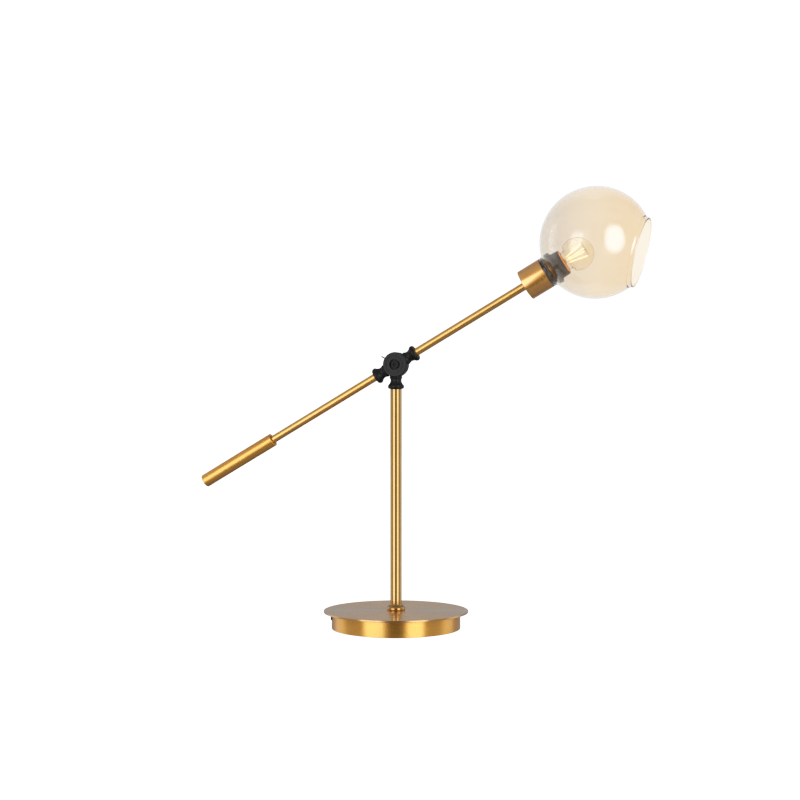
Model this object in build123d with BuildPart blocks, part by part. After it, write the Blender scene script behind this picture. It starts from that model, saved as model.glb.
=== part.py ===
from build123d import *
import math
import os

# Table lamp with a counterbalanced arm. Millimetres, +Z up, origin at the centre of the base's underside.
# The arm lies in the X-Z plane, globe towards +X; the knuckle's pivot runs along Y, its bolt head towards -Y.

# ---------------------------------------------------------------- driving dimensions
# base
plate_r = 100.0        # top plate
plate_z0 = 23.2        # underside of the top plate
plate_z1 = 25.6        # upper side of the top plate
drum_r = 89.0          # drum wall, outside
drum_wall = 1.4
drum_z0 = 1.0
felt_t = 1.2
felt_r = 84.0
cover_t = 1.2
ballast_r = 82.0
ballast_z0 = 11.8
ballast_z1 = plate_z0 - drum_wall
boss_ring_r = 60.0     # circle of the three cover screws
boss_r = 6.0
inlet_angle = 203.0    # direction of the cord inlet about Z
inlet_z = 16.5
inlet_bore_r = 2.1

# column
column_r = 8.0
column_bore_r = 6.5
column_top_z = 330.9
collar_h = 9.2

# knuckle
pivot_z = 365.0
disc_r = 17.25         # both halves of the knuckle
half_t = 7.0           # half thickness of the knuckle
face_gap = 0.25        # mating faces sit this far from the mid-plane
rim_round = 0.9        # rounding of the discs' outer rims
sweep_r = 17.55        # what turns past a disc keeps outside this radius
neck_end = 33.6        # end face of each neck, from the pivot
neck_socket = 24.0     # bottom of each neck's socket, from the pivot
post_r = 5.0
post_bore_r = 3.2
bolt_r = 3.0
lead_r = 1.3
lead_off = 1.6         # offset of the leads from the mid-plane inside the knuckle

# arm
arm_angle = 30.1       # elevation of the arm at rest
arm_r = 5.5
arm_bore_r = 4.0
cw_r = 9.5
cw_s0 = 209.5          # counterweight, from the pivot
cw_s1 = 330.0

# head, distances along the arm from the pivot
cup_s0 = 210.0
cup_s1 = 243.0
cup_r = 21.25
cup_wall = 1.0
holder_s0 = 214.5
holder_s1 = 271.0
globe_s = 320.0
globe_r = 75.0
glass_t = 2.0
glass_neck_r = 21.2
glass_hole_r = 19.8
opening_angle = 44.5   # from the arm's axis down to the axis of the globe's opening
opening_turn = -2.7    # how far the globe is turned about the arm, its opening towards -Y
opening_r = 44.7       # clear radius of the opening
lip_d = 61.4           # centre of the rounded lip, from the globe's centre
bulb_s = 291.5         # centre of the bulb's round part
bulb_r = 22.5

# ---------------------------------------------------------------- frames
ca = math.cos(math.radians(arm_angle))
sa = math.sin(math.radians(arm_angle))
U = Vector(ca, 0, sa)              # along the arm, towards the globe
V = Vector(-sa, 0, ca)             # across the arm, upwards
PIVOT = Vector(0, 0, pivot_z)


def at(s, h=0.0, y=0.0):
    return PIVOT + U * s + V * h + Vector(0, y, 0)


ARM = Plane(origin=PIVOT, x_dir=U, z_dir=(0, -1, 0))            # local x along the arm, local y across it
ARM_BACK = Plane(origin=PIVOT, x_dir=U * -1, z_dir=(0, 1, 0))   # local x towards the counterweight
ARM_AXIS = Axis(PIVOT, U)
STEM = Plane(origin=PIVOT, x_dir=(0, 0, -1), z_dir=(0, -1, 0))  # local x down the column
STEM_AXIS = Axis(PIVOT, (0, 0, -1))
PIVOT_AXIS = Axis(PIVOT, (0, 1, 0))
DISC = Plane(origin=PIVOT, x_dir=(0, 1, 0), z_dir=(1, 0, 0))    # local x along the pivot, local y outwards


def across(s):
    return Plane(origin=at(s), x_dir=(0, 1, 0), z_dir=U)        # section of the arm at s


def facing(y, h=None):
    return Plane(origin=PIVOT + Vector(0, y, 0), x_dir=(1, 0, 0), z_dir=(0, 1, 0))


def arc_mid(p, q, c):
    # point half way along the shorter arc from p to q about c
    mx, my = (p[0] + q[0]) / 2 - c[0], (p[1] + q[1]) / 2 - c[1]
    r = math.hypot(p[0] - c[0], p[1] - c[1])
    k = r / math.hypot(mx, my)
    return (c[0] + mx * k, c[1] + my * k)


# neck profile as tangent arcs, (distance from the pivot, radius): bead, waist, flare, bell mouth
neck_points = [(16.2, 8.2), (17.3, 9.0), (18.849, 8.518), (21.8, 7.6), (27.612, 10.107), (33.25, 10.243)]
neck_centres = [(17.3, 7.844), (17.3, 6.27), (21.8, 12.8), (21.8, 15.6), (30.5, 7.38)]

os.makedirs("parts", exist_ok=True)


def finish(builder, name):
    builder.part.label = name
    export_step(builder.part, "parts/" + name + ".step")


# ================================================================ base
with BuildPart() as base_plate:
    with BuildSketch(Plane.XY.offset(plate_z0)):
        Circle(plate_r)
        Circle(5.25, mode=Mode.SUBTRACT)
    extrude(amount=plate_z1 - plate_z0)
    fillet(base_plate.edges().filter_by(GeomType.CIRCLE).filter_by(lambda e: e.radius > 50), radius=0.7)
finish(base_plate, "base_plate")

inlet_dir = Vector(math.cos(math.radians(inlet_angle)), math.sin(math.radians(inlet_angle)), 0)


def inlet(r):
    return Plane(origin=inlet_dir * r + Vector(0, 0, inlet_z), x_dir=(0, 0, 1), z_dir=inlet_dir)


with BuildPart() as base_drum:
    # inverted pan: side wall and a web under the top plate
    with BuildSketch(Plane.XZ) as drum_profile:
        with BuildLine():
            Polyline((5.25, plate_z0), (drum_r, plate_z0), (drum_r, drum_z0), (drum_r - drum_wall, drum_z0),
                     (drum_r - drum_wall, plate_z0 - drum_wall), (5.25, plate_z0 - drum_wall), close=True)
        make_face()
    revolve(axis=Axis.Z)
    fillet(base_drum.edges().filter_by(GeomType.CIRCLE).filter_by(lambda e: e.radius > drum_r - 0.1)
           .group_by(Axis.Z)[0], radius=0.4)
    with BuildSketch(inlet(drum_r - 6)):
        Circle(2.9)
    extrude(amount=12, mode=Mode.SUBTRACT)
finish(base_drum, "base_drum")

with BuildPart() as base_ballast:
    with BuildSketch(Plane.XY.offset(ballast_z0)):
        Circle(ballast_r)
    extrude(amount=ballast_z1 - ballast_z0)
    chamfer(base_ballast.edges().filter_by(GeomType.CIRCLE), length=0.8)
    with BuildSketch(Plane.XY.offset(felt_t + cover_t)):
        with PolarLocations(boss_ring_r, 3, start_angle=30):
            Circle(boss_r)
    extrude(amount=ballast_z0 - felt_t - cover_t + 1)
    with BuildSketch(Plane.XY.offset(felt_t + cover_t)):
        with PolarLocations(boss_ring_r, 3, start_angle=30):
            Circle(2.0)
    extrude(amount=10.5, mode=Mode.SUBTRACT)
    with BuildSketch(Plane.XY):
        Circle(5.25)
    extrude(amount=40, mode=Mode.SUBTRACT)
finish(base_ballast, "base_ballast")

with BuildPart() as base_cover:
    with BuildSketch(Plane.XY.offset(felt_t)):
        Circle(drum_r - drum_wall - 0.3)
        with PolarLocations(boss_ring_r, 3, start_angle=30):
            Circle(2.2, mode=Mode.SUBTRACT)
    extrude(amount=cover_t)
finish(base_cover, "base_cover")

with BuildPart() as felt_pad:
    with BuildSketch(Plane.XY):
        Circle(felt_r)
        with PolarLocations(boss_ring_r, 3, start_angle=30):
            Circle(4.2, mode=Mode.SUBTRACT)
    extrude(amount=felt_t)
finish(felt_pad, "felt_pad")

with BuildPart() as cover_screws:
    with BuildSketch(Plane.XY.offset(0.2)):
        with PolarLocations(boss_ring_r, 3, start_angle=30):
            Circle(3.6)
    extrude(amount=felt_t - 0.2)
    with BuildSketch(Plane.XY.offset(felt_t)):
        with PolarLocations(boss_ring_r, 3, start_angle=30):
            Circle(1.95)
    extrude(amount=9.6)
    with BuildSketch(Plane.XY.offset(0.2)):
        with PolarLocations(boss_ring_r, 3, start_angle=30):
            RegularPolygon(1.4, 6)
    extrude(amount=0.8, mode=Mode.SUBTRACT)
finish(cover_screws, "cover_screws")

with BuildPart() as cord_grommet:
    # waisted bush: outer flange, neck through the drum wall, inner flange
    with BuildSketch(inlet(drum_r - drum_wall - 0.1 - 2.6)):
        Circle(3.6)
    extrude(amount=2.6)
    with BuildSketch(inlet(drum_r - drum_wall - 0.1)):
        Circle(2.85)
    extrude(amount=drum_wall + 0.12)
    with BuildSketch(inlet(drum_r + 0.02)):
        Circle(3.3)
    extrude(amount=1.4)
    fillet(cord_grommet.edges().filter_by(GeomType.CIRCLE).filter_by(lambda e: abs(e.radius - 3.3) < 0.01)
           .sort_by(lambda e: (e.center() - Vector(0, 0, inlet_z)).length)[-1:], radius=0.6)
    with BuildSketch(inlet(drum_r - 8)):
        Circle(inlet_bore_r)
    extrude(amount=12, mode=Mode.SUBTRACT)
finish(cord_grommet, "cord_grommet")

# stack on the base's centre: threaded tube, washer, nut, plug in the column's foot
with BuildPart() as base_nipple:
    with BuildSketch(Plane.XY.offset(6.9)):
        Circle(4.95)
        Circle(3.6, mode=Mode.SUBTRACT)
    extrude(amount=34.5)
    chamfer(base_nipple.edges().filter_by(GeomType.CIRCLE).filter_by(lambda e: e.radius > 4.5), length=0.5)
finish(base_nipple, "base_nipple")

with BuildPart() as nipple_washer:
    with BuildSketch(Plane.XY.offset(ballast_z0 - 1.2)):
        Circle(11.0)
        Circle(5.25, mode=Mode.SUBTRACT)
    extrude(amount=1.2)
finish(nipple_washer, "nipple_washer")

with BuildPart() as nipple_nut:
    with BuildSketch(Plane.XY.offset(ballast_z0 - 1.2 - 3.2)):
        RegularPolygon(7.0, 6, major_radius=False)
        Circle(5.0, mode=Mode.SUBTRACT)
    extrude(amount=3.2)
    with BuildSketch(Plane.XY.offset(ballast_z0 - 1.2 - 3.2)):
        Circle(7.75)
    extrude(amount=3.2, mode=Mode.INTERSECT)
finish(nipple_nut, "nipple_nut")

with BuildPart() as column_foot_plug:
    with BuildSketch(Plane.XY.offset(plate_z1)):
        Circle(column_bore_r - 0.05)
        Circle(5.0, mode=Mode.SUBTRACT)
    extrude(amount=20)
finish(column_foot_plug, "column_foot_plug")

with BuildPart() as foot_collar:
    # rounded bead that runs up into the column
    with BuildSketch(Plane.XZ):
        with BuildLine():
            Polyline((column_r + 0.05, plate_z1 + collar_h), (column_r + 0.05, plate_z1), (12.0, plate_z1))
            Spline((12.0, plate_z1), (12.75, plate_z1 + 0.9), (13.0, plate_z1 + 2.4), (12.7, plate_z1 + 4.0),
                   (11.8, plate_z1 + 5.4), (10.3, plate_z1 + 6.7), (9.15, plate_z1 + 7.9), (8.6, plate_z1 + collar_h))
            Line((8.6, plate_z1 + collar_h), (column_r + 0.05, plate_z1 + collar_h))
        make_face()
    revolve(axis=Axis.Z)
finish(foot_collar, "foot_collar")

with BuildPart() as column_tube:
    with BuildSketch(Plane.XY.offset(plate_z1)):
        Circle(column_r)
        Circle(column_bore_r, mode=Mode.SUBTRACT)
    extrude(amount=column_top_z - plate_z1)
    chamfer(column_tube.edges().filter_by(GeomType.CIRCLE).filter_by(lambda e: e.radius > 7.5), length=0.25)
finish(column_tube, "column_tube")

with BuildPart() as column_top_bush:
    # bearing for the swivel post, with a stop tab under its -X side
    with BuildSketch(Plane.XY.offset(306.0)):
        Circle(column_bore_r - 0.03)
        Circle(post_r + 0.05, mode=Mode.SUBTRACT)
    extrude(amount=column_top_z - 306.0)
    with BuildSketch(Plane.XY.offset(302.9)):
        Circle(column_bore_r - 0.1)
        Circle(post_r + 0.2, mode=Mode.SUBTRACT)
        with Locations((-column_bore_r, 0)):
            Rectangle(4.0, 2.4, mode=Mode.INTERSECT)
    extrude(amount=3.4)
finish(column_top_bush, "column_top_bush")

with BuildPart() as swivel_washer:
    with BuildSketch(Plane.XY.offset(column_top_z)):
        Circle(column_r)
        Circle(post_r + 0.3, mode=Mode.SUBTRACT)
    extrude(amount=0.48)
finish(swivel_washer, "swivel_washer")

with BuildPart() as terminal_block:
    with BuildSketch(Plane(origin=(-35, 0, 2.7))):
        RectangleRounded(18, 14, 1.5)
    extrude(amount=6.8)
    with BuildSketch(Plane(origin=(-26, 0, 4.9), x_dir=(0, 1, 0), z_dir=(-1, 0, 0))):
        with Locations((0, 0)):
            Circle(1.5)
    extrude(amount=5, mode=Mode.SUBTRACT)
    with BuildSketch(Plane(origin=(-44, 0, 4.9), x_dir=(0, 1, 0), z_dir=(1, 0, 0))):
        with GridLocations(7, 1, 2, 1):
            Circle(1.3)
    extrude(amount=6, mode=Mode.SUBTRACT)
    with BuildSketch(Plane(origin=(-35, 0, 9.5))):
        with GridLocations(9, 7, 2, 2):
            Circle(1.6)
    extrude(amount=-3.0, mode=Mode.SUBTRACT)
finish(terminal_block, "terminal_block")

with BuildPart() as terminal_screws:
    with BuildSketch(Plane(origin=(-35, 0, 6.7))):
        with GridLocations(9, 7, 2, 2):
            Circle(1.5)
    extrude(amount=2.2)
    with BuildSketch(Plane(origin=(-35, 0, 8.9))):
        with GridLocations(9, 7, 2, 2):
            Rectangle(2.4, 0.5)
    extrude(amount=-0.7, mode=Mode.SUBTRACT)
finish(terminal_screws, "terminal_screws")

with BuildPart() as lead_column:
    # inner lead: terminal block, turn under the threaded tube, up the column
    with BuildLine() as lead_column_path:
        FilletPolyline((-25.9, 0, 4.9), (0, 0, 4.9), (0, 0, 320), radius=6.0)
    with BuildSketch(Plane(origin=(-25.9, 0, 4.9), x_dir=(0, 1, 0), z_dir=(1, 0, 0))):
        Circle(lead_r)
    sweep(path=lead_column_path.wires()[0])
finish(lead_column, "lead_column")

# ================================================================ knuckle, lower half (turns on the column)
with BuildPart() as knuckle_stem:
    with BuildSketch(STEM):
        with BuildLine():
            Polyline((8.0, 0), (8.0, 8.2), neck_points[0])
            for p, q, c in zip(neck_points, neck_points[1:], neck_centres):
                ThreePointArc(p, arc_mid(p, q, c), q)
            Polyline(neck_points[-1], (neck_end, 9.75), (neck_end, 0), (8.0, 0))
        make_face()
    revolve(axis=STEM_AXIS)
    # the neck is cut back where the front disc turns
    with BuildSketch(facing(face_gap)):
        Circle(sweep_r)
    extrude(amount=-20, mode=Mode.SUBTRACT)
    with BuildSketch(facing(half_t)):
        Circle(disc_r)
    extrude(amount=20, mode=Mode.SUBTRACT)
    # rear disc, rounded at its outer rim
    with BuildSketch(DISC):
        with BuildLine():
            Polyline((half_t - rim_round, disc_r), (face_gap, disc_r), (face_gap, 0), (half_t, 0),
                     (half_t, disc_r - rim_round))
            RadiusArc((half_t, disc_r - rim_round), (half_t - rim_round, disc_r), rim_round)
        make_face()
    revolve(axis=PIVOT_AXIS)
    # rear face: shallow groove, nut recess
    with BuildSketch(facing(half_t)):
        Circle(13.0)
        Circle(11.0, mode=Mode.SUBTRACT)
    extrude(amount=-0.7, mode=Mode.SUBTRACT)
    with BuildSketch(facing(half_t)):
        Circle(8.2)
    extrude(amount=-(half_t - 3.6), mode=Mode.SUBTRACT)
    # hidden ring chamber for the leads, pivot bore
    with BuildSketch(facing(face_gap)):
        Circle(12.2)
        Circle(8.5, mode=Mode.SUBTRACT)
    extrude(amount=2.9, mode=Mode.SUBTRACT)
    with BuildSketch(facing(0)):
        Circle(bolt_r + 0.06)
    extrude(amount=10, mode=Mode.SUBTRACT)
    # lead way down to the post, post socket, grub screw hole
    with BuildSketch(Plane(origin=PIVOT + Vector(0, lead_off, -10.5), x_dir=(1, 0, 0), z_dir=(0, 0, -1))):
        Circle(2.4)
    extrude(amount=14, mode=Mode.SUBTRACT)
    with BuildSketch(Plane(origin=PIVOT + Vector(0, 0, -neck_socket), x_dir=(1, 0, 0), z_dir=(0, 0, -1))):
        Circle(post_r + 0.03)
    extrude(amount=12, mode=Mode.SUBTRACT)
    with BuildSketch(Plane(origin=PIVOT + Vector(0, 3, -29.0), x_dir=(1, 0, 0), z_dir=(0, 1, 0))):
        Circle(1.5)
    extrude(amount=12, mode=Mode.SUBTRACT)
finish(knuckle_stem, "knuckle_stem")

with BuildPart() as swivel_post:
    with BuildSketch(Plane.XY.offset(299.0)):
        Circle(post_r)
        Circle(post_bore_r, mode=Mode.SUBTRACT)
    extrude(amount=pivot_z - neck_socket - 0.2 - 299.0)
    chamfer(swivel_post.edges().filter_by(GeomType.CIRCLE).filter_by(lambda e: e.radius > 4.5), length=0.4)
finish(swivel_post, "swivel_post")

with BuildPart() as swivel_stop_ring:
    # collar under the bearing, with an ear on its +X side that meets the tab
    with BuildSketch(Plane.XY.offset(299.6)):
        Circle(6.15)
        Circle(post_r + 0.02, mode=Mode.SUBTRACT)
    extrude(amount=3.0)
    with BuildSketch(Plane.XY.offset(302.0)):
        Circle(6.15)
        Circle(post_r + 0.02, mode=Mode.SUBTRACT)
        with Locations((6.0, 0)):
            Rectangle(3.0, 1.2, mode=Mode.INTERSECT)
    extrude(amount=3.6)
finish(swivel_stop_ring, "swivel_stop_ring")

with BuildPart() as stem_grub_screw:
    with BuildSketch(Plane(origin=PIVOT + Vector(0, post_r + 0.1, -29.0), x_dir=(1, 0, 0), z_dir=(0, 1, 0))):
        Circle(1.47)
    extrude(amount=5.2)
    with BuildSketch(Plane(origin=PIVOT + Vector(0, post_r + 5.3, -29.0), x_dir=(1, 0, 0), z_dir=(0, 1, 0))):
        RegularPolygon(0.75, 6)
    extrude(amount=-1.6, mode=Mode.SUBTRACT)
finish(stem_grub_screw, "stem_grub_screw")

with BuildPart() as pivot_washer:
    # thin friction ring between the two discs
    with BuildSketch(facing(-face_gap + 0.02)):
        Circle(16.6)
        Circle(12.6, mode=Mode.SUBTRACT)
    extrude(amount=2 * face_gap - 0.02)
finish(pivot_washer, "pivot_washer")

with BuildPart() as lead_knuckle:
    with BuildLine() as lead_knuckle_path:
        FilletPolyline((0, 0, 321), (0, 0, 334), (0, lead_off, 344), (0, lead_off, 354.2), radius=18.0)
    with BuildSketch(Plane(origin=(0, 0, 321))):
        Circle(lead_r)
    sweep(path=lead_knuckle_path.wires()[0])
finish(lead_knuckle, "lead_knuckle")

# ================================================================ knuckle, upper half (turns on the pivot) and arm
with BuildPart() as arm_hub:
    with BuildSketch(ARM):
        with BuildLine():
            Polyline((8.0, 0), (8.0, 8.2), neck_points[0])
            for p, q, c in zip(neck_points, neck_points[1:], neck_centres):
                ThreePointArc(p, arc_mid(p, q, c), q)
            Polyline(neck_points[-1], (neck_end, 9.75), (neck_end, 0), (8.0, 0))
        make_face()
    revolve(axis=ARM_AXIS)
    with BuildSketch(ARM_BACK):
        with BuildLine():
            Polyline((8.0, 0), (8.0, 8.2), neck_points[0])
            for p, q, c in zip(neck_points, neck_points[1:], neck_centres):
                ThreePointArc(p, arc_mid(p, q, c), q)
            Polyline(neck_points[-1], (neck_end, 9.75), (neck_end, 0), (8.0, 0))
        make_face()
    revolve(axis=ARM_AXIS)
    # the necks are cut back where the rear disc turns
    with BuildSketch(facing(-face_gap)):
        Circle(sweep_r)
    extrude(amount=20, mode=Mode.SUBTRACT)
    with BuildSketch(facing(-half_t)):
        Circle(disc_r)
    extrude(amount=-20, mode=Mode.SUBTRACT)
    # front disc, rounded at its outer rim
    with BuildSketch(DISC):
        with BuildLine():
            Polyline((-half_t, disc_r - rim_round), (-half_t, 0), (-face_gap, 0), (-face_gap, disc_r),
                     (-half_t + rim_round, disc_r))
            RadiusArc((-half_t + rim_round, disc_r), (-half_t, disc_r - rim_round), rim_round)
        make_face()
    revolve(axis=PIVOT_AXIS)
    # front face: shallow groove, ridge, recess for the bolt head
    with BuildSketch(facing(-half_t)):
        Circle(13.0)
        Circle(11.0, mode=Mode.SUBTRACT)
    extrude(amount=0.8, mode=Mode.SUBTRACT)
    with BuildSketch(facing(-half_t)):
        Circle(7.6)
    extrude(amount=half_t - 3.4, mode=Mode.SUBTRACT)
    # hidden ring chamber for the leads, pivot bore
    with BuildSketch(facing(-face_gap)):
        Circle(12.2)
        Circle(8.5, mode=Mode.SUBTRACT)
    extrude(amount=-2.9, mode=Mode.SUBTRACT)
    with BuildSketch(facing(0)):
        Circle(bolt_r + 0.02)
    extrude(amount=-10, mode=Mode.SUBTRACT)
    # lead way into the globe-side tube
    with BuildSketch(Plane(origin=at(10.5, 0, -lead_off), x_dir=(0, 1, 0), z_dir=U)):
        Circle(2.4)
    extrude(amount=14, mode=Mode.SUBTRACT)
    # tube sockets
    with BuildSketch(across(neck_socket)):
        Circle(arm_r + 0.03)
    extrude(amount=12, mode=Mode.SUBTRACT)
    with BuildSketch(across(-neck_socket)):
        Circle(arm_r + 0.03)
    extrude(amount=-12, mode=Mode.SUBTRACT)
    # grub screw holes at the back
    for s in (-29.0, 29.0):
        with BuildSketch(Plane(origin=at(s, 0, 3.0), x_dir=U, z_dir=(0, 1, 0))):
            Circle(1.5)
        extrude(amount=12, mode=Mode.SUBTRACT)
    # hole of the lock pin
    pin_dir = Vector(-math.cos(math.radians(30)), 0, math.sin(math.radians(30)))
    with BuildSketch(Plane(origin=PIVOT + pin_dir * 5.0 + Vector(0, -4.4, 0), x_dir=(0, 1, 0), z_dir=pin_dir)):
        Circle(0.92)
    extrude(amount=20, mode=Mode.SUBTRACT)
finish(arm_hub, "arm_hub")

with BuildPart() as pivot_bolt:
    with BuildSketch(facing(-6.2)):
        Circle(5.6)
    extrude(amount=2.78)
    fillet(pivot_bolt.edges().filter_by(GeomType.CIRCLE).group_by(Axis.Y)[0], radius=0.5)
    with BuildSketch(facing(-3.5)):
        Circle(bolt_r)
    extrude(amount=10.4)
    chamfer(pivot_bolt.edges().filter_by(GeomType.CIRCLE).group_by(Axis.Y)[-1], length=0.4)
    with BuildSketch(facing(-6.2)):
        RegularPolygon(2.5, 6, major_radius=False)
    extrude(amount=1.8, mode=Mode.SUBTRACT)
finish(pivot_bolt, "pivot_bolt")

with BuildPart() as pivot_spring_washer:
    # split ring behind the lower half
    with BuildSketch(facing(3.62)):
        Circle(5.5)
        Circle(bolt_r + 0.1, mode=Mode.SUBTRACT)
        with Locations((4.3, 0)):
            Rectangle(4.0, 0.7, mode=Mode.SUBTRACT)
    extrude(amount=1.0)
finish(pivot_spring_washer, "pivot_spring_washer")

with BuildPart() as pivot_nut:
    with BuildSketch(facing(4.64)):
        RegularPolygon(5.0, 6, major_radius=False)
        Circle(bolt_r + 0.02, mode=Mode.SUBTRACT)
    extrude(amount=2.0)
    with BuildSketch(facing(4.64)):
        Circle(5.55)
    extrude(amount=2.0, mode=Mode.INTERSECT)
finish(pivot_nut, "pivot_nut")

with BuildPart() as pivot_lock_pin:
    with BuildSketch(Plane(origin=PIVOT + pin_dir * 5.7 + Vector(0, -4.4, 0), x_dir=(0, 1, 0), z_dir=pin_dir)):
        Circle(0.9)
    extrude(amount=17.0)
    fillet(pivot_lock_pin.edges().filter_by(GeomType.CIRCLE).sort_by(Axis.Z)[-1:], radius=0.35)
finish(pivot_lock_pin, "pivot_lock_pin")

with BuildPart() as arm_tube_front:
    with BuildSketch(across(neck_socket + 0.1)):
        Circle(arm_r)
        Circle(arm_bore_r, mode=Mode.SUBTRACT)
    extrude(amount=cup_s0 - 0.05 - neck_socket - 0.1)
finish(arm_tube_front, "arm_tube_front")

with BuildPart() as arm_tube_rear:
    with BuildSketch(across(-neck_socket - 0.1)):
        Circle(arm_r)
        Circle(arm_bore_r, mode=Mode.SUBTRACT)
    extrude(amount=-(cw_s0 + 24.0 - neck_socket - 0.1))
finish(arm_tube_rear, "arm_tube_rear")

with BuildPart() as hub_grub_screws:
    for s in (-29.0, 29.0):
        with BuildSketch(Plane(origin=at(s, 0, arm_r + 0.05), x_dir=U, z_dir=(0, 1, 0))):
            Circle(1.47)
        extrude(amount=4.8)
        with BuildSketch(Plane(origin=at(s, 0, arm_r + 4.85), x_dir=U, z_dir=(0, 1, 0))):
            RegularPolygon(0.75, 6)
        extrude(amount=-1.6, mode=Mode.SUBTRACT)
finish(hub_grub_screws, "hub_grub_screws")

with BuildPart() as counterweight:
    with BuildSketch(across(-cw_s0)):
        Circle(cw_r)
    extrude(amount=-(cw_s1 - cw_s0))
    far_edge = counterweight.edges().filter_by(GeomType.CIRCLE).sort_by(Axis.X)
    fillet(far_edge[0:1], radius=1.3)
    fillet(counterweight.edges().filter_by(GeomType.CIRCLE).sort_by(Axis.X)[-1:], radius=0.6)
    with BuildSketch(across(-cw_s0)):
        Circle(arm_r + 0.05)
    extrude(amount=-24.3, mode=Mode.SUBTRACT)
    with BuildSketch(across(-cw_s0)):
        Circle(arm_r + 0.9)
    extrude(amount=-0.9, mode=Mode.SUBTRACT)
    with BuildSketch(Plane(origin=at(-cw_s0 - 13.0, 0, 3.0), x_dir=U, z_dir=(0, 1, 0))):
        Circle(2.0)
    extrude(amount=8, mode=Mode.SUBTRACT)
finish(counterweight, "counterweight")

with BuildPart() as counterweight_grub_screw:
    with BuildSketch(Plane(origin=at(-cw_s0 - 13.0, 0, arm_r + 0.05), x_dir=U, z_dir=(0, 1, 0))):
        Circle(1.97)
    extrude(amount=3.5)
    with BuildSketch(Plane(origin=at(-cw_s0 - 13.0, 0, arm_r + 3.55), x_dir=U, z_dir=(0, 1, 0))):
        RegularPolygon(1.0, 6)
    extrude(amount=-1.8, mode=Mode.SUBTRACT)
finish(counterweight_grub_screw, "counterweight_grub_screw")

with BuildPart() as lead_arm:
    with BuildSketch(Plane(origin=at(11.5, 0, -lead_off), x_dir=(0, 1, 0), z_dir=U)):
        Circle(lead_r)
    extrude(amount=232.0 - 11.5)
finish(lead_arm, "lead_arm")

# ================================================================ head
with BuildPart() as shade_cup:
    with BuildSketch(ARM):
        with BuildLine():
            Polyline((cup_s0, 4.05), (cup_s0, cup_r), (cup_s1, cup_r), (cup_s1, cup_r - cup_wall),
                     (cup_s0 + 1.2, cup_r - cup_wall), (cup_s0 + 1.2, 4.05), close=True)
        make_face()
    revolve(axis=ARM_AXIS)
    fillet(shade_cup.edges().filter_by(GeomType.CIRCLE).filter_by(lambda e: abs(e.radius - cup_r) < 0.01)
           .sort_by(Axis.X)[0:1], radius=0.9)
finish(shade_cup, "shade_cup")

with BuildPart() as head_nipple:
    with BuildSketch(across(196.0)):
        Circle(3.95)
        Circle(3.0, mode=Mode.SUBTRACT)
    extrude(amount=24.0)
finish(head_nipple, "head_nipple")

with BuildPart() as head_locknut:
    with BuildSketch(across(cup_s0 + 1.25)):
        RegularPolygon(6.5, 6, major_radius=False)
        Circle(4.0, mode=Mode.SUBTRACT)
    extrude(amount=3.0)
finish(head_locknut, "head_locknut")

with BuildPart() as lampholder_body:
    # closed back, threaded middle, plain skirt
    with BuildSketch(ARM):
        with BuildLine():
            Polyline((holder_s0, 4.05), (holder_s0, 17.5), (holder_s0 + 1.5, 19.0), (240.0, 19.0),
                     (240.6, 19.4), (241.8, 19.4), (242.4, 18.9), (243.0, 18.9), (243.6, 19.4), (244.8, 19.4),
                     (245.4, 18.9), (246.0, 18.9), (246.6, 19.4), (247.8, 19.4), (248.4, 18.9), (249.0, 18.9),
                     (249.6, 19.4), (258.6, 19.4), (259.4, 18.3), (holder_s1 - 0.8, 17.6), (holder_s1, 16.9),
                     (holder_s1, 15.7), (holder_s1 - 3.0, 15.7), (holder_s1 - 3.0, 14.6),
                     (holder_s0 + 3.0, 14.6), (holder_s0 + 3.0, 4.05), close=True)
        make_face()
    revolve(axis=ARM_AXIS)
finish(lampholder_body, "lampholder_body")

with BuildPart() as shade_ring:
    # clamping ring on the holder's thread, inside the globe; its rim has shallow grip notches
    with BuildSketch(ARM):
        with BuildLine():
            Polyline((250.75, 19.45), (250.75, 22.0), (251.2, 22.4), (257.2, 22.4), (257.7, 21.9), (257.7, 19.45),
                     close=True)
        make_face()
    revolve(axis=ARM_AXIS)
    with BuildSketch(across(252.4)):
        with PolarLocations(22.7, 24):
            Circle(0.8)
    extrude(amount=6, mode=Mode.SUBTRACT)
finish(shade_ring, "shade_ring")

with BuildPart() as neck_gasket:
    with BuildSketch(across(cup_s1)):
        Circle(cup_r - 0.15)
        Circle(glass_hole_r, mode=Mode.SUBTRACT)
    extrude(amount=0.8)
finish(neck_gasket, "neck_gasket")

with BuildPart() as socket_insert:
    # ceramic block at the bottom of the holder
    with BuildSketch(across(237.0)):
        Circle(14.5)
        with GridLocations(15, 1, 2, 1):
            Circle(2.1, mode=Mode.SUBTRACT)
    extrude(amount=8.0)
    with BuildSketch(across(245.0)):
        Circle(9.0)
    extrude(amount=-1.6, mode=Mode.SUBTRACT)
finish(socket_insert, "socket_insert")

with BuildPart() as socket_terminals:
    with BuildSketch(across(234.5)):
        with GridLocations(15, 1, 2, 1):
            Circle(2.0)
    extrude(amount=9.5)
    with BuildSketch(across(234.5)):
        with GridLocations(15, 1, 2, 1):
            Rectangle(3.2, 0.6)
    extrude(amount=0.9, mode=Mode.SUBTRACT)
finish(socket_terminals, "socket_terminals")

with BuildPart() as socket_contact:
    # leaf spring: flat foot and a raised tongue under the bulb's contact
    with BuildSketch(ARM):
        with BuildLine():
            Polyline((243.5, -8.0), (243.5, 3.0), (246.4, 7.0), (247.0, 6.6), (244.1, 2.8), (244.1, -8.0), close=True)
        make_face()
    extrude(amount=2.5, both=True)
finish(socket_contact, "socket_contact")

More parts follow.
